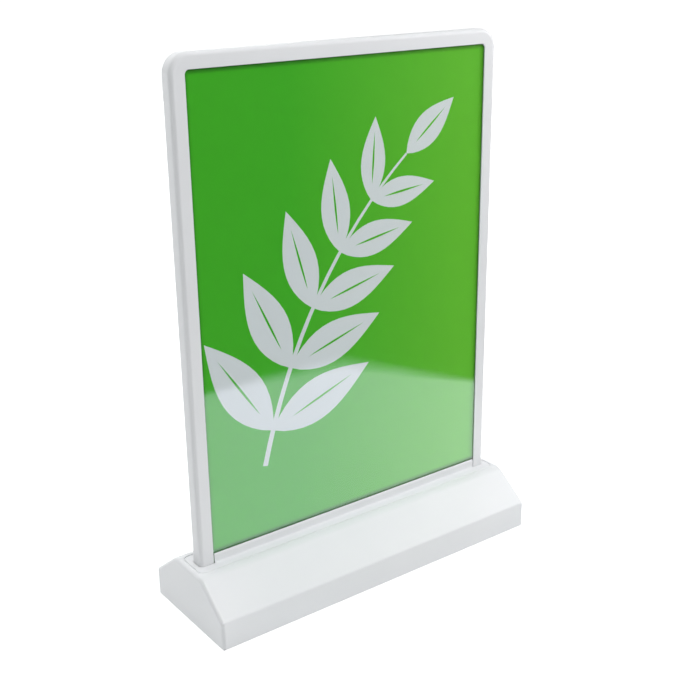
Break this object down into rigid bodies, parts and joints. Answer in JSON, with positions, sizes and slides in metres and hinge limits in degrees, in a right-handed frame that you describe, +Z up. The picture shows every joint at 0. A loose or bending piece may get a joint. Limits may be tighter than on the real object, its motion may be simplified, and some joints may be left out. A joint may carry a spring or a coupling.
{
  "type": "table-top advertising light box",
  "caption": "Slim double-sided table-top light box: a white frame hoop slides down over an edge-lit sheet stack and plugs into a sloped weighted base.",
  "frame": {"origin": "centre of the footprint on the surface that the rubber feet stand on", "axes": "+Z up, front picture faces -Y, +X to the right as seen from the front"},
  "size_m": [0.2306, 0.0758, 0.3185],
  "materials": {
    "white_moulding": "satin injection-moulded plastic",
    "frame_plastic": "satin injection-moulded plastic",
    "plate_plastic": "fine matt grain",
    "foot_rubber": "matt",
    "zinc_steel": "zinc plated",
    "ballast_steel": "as sawn, oiled",
    "clear_sheet": "clear polished sheet",
    "printed_film": "printed back-lit film",
    "diffuser_film": "frosted",
    "guide_acrylic": "polished edges, laser dotted faces",
    "mirror_tape": "silvered tape",
    "channel_aluminium": "mill-finish extrusion",
    "adhesive_film": "grey heat-conducting adhesive tape",
    "board_white": "white solder mask",
    "chip_phosphor": "phosphor window in a white case",
    "resistor_body": "matt",
    "black_moulding": "fine matt grain",
    "rocker_plastic": "satin",
    "contact_metal": "tin-plated brass",
    "nickel_nut": "nickel plated",
    "shrink_sleeve": "shrunk polyolefin sleeve",
    "wire_black_insulation": "smooth insulation",
    "wire_red_insulation": "smooth insulation"
  },
  "bodies": {
    "base": {"base_cover": "white_moulding", "base_plate": "plate_plastic", "rubber_feet": "foot_rubber", "base_screws": "zinc_steel", "front_ballast": "ballast_steel", "rear_ballast": "ballast_steel", "ballast_screws": "zinc_steel", "collar": "white_moulding", "front_diffuser": "diffuser_film", "back_diffuser": "diffuser_film", "light_guide": "guide_acrylic", "edge_tape": "mirror_tape", "led_channel": "channel_aluminium", "channel_screws": "zinc_steel", "board_tape": "adhesive_film", "led_board": "board_white", "led_chips": "chip_phosphor", "led_resistors": "resistor_body", "dc_jack_body": "black_moulding", "dc_jack_pin": "contact_metal", "dc_jack_contact": "contact_metal", "dc_jack_nut": "nickel_nut", "switch_housing": "black_moulding", "switch_blades": "contact_metal", "joint_sleeves": "shrink_sleeve", "wire_black": "wire_black_insulation", "wire_red_feed": "wire_red_insulation", "wire_red_led": "wire_red_insulation"},
    "lift_frame": {"frame_hoop": "frame_plastic", "front_clear_cover": "clear_sheet", "back_clear_cover": "clear_sheet"},
    "front_film": {"front_picture": "printed_film"},
    "back_film": {"back_picture": "printed_film"},
    "rocker": {"switch_rocker": "rocker_plastic"}
  },
  "joints": [
    {"name": "frame_lift", "type": "slide", "parent": "base", "child": "lift_frame", "axis": [0, 0, 1], "range_m": [0, 0.3]},
    {"name": "front_film_draw", "type": "slide", "parent": "base", "child": "front_film", "axis": [0, 0, 1], "range_m": [0, 0.15]},
    {"name": "back_film_draw", "type": "slide", "parent": "base", "child": "back_film", "axis": [0, 0, 1], "range_m": [0, 0.15]},
    {"name": "rocker_tilt", "type": "hinge", "parent": "base", "child": "rocker", "pos_m": [0.066, 0.03327, 0.0102], "axis": [0, 0, 1], "range_deg": [0, 18]}
  ],
  "couplings": [
    {"joint": "front_film_draw", "follows": "frame_lift", "ratio": 0.5},
    {"joint": "back_film_draw", "follows": "frame_lift", "ratio": 0.5}
  ]
}
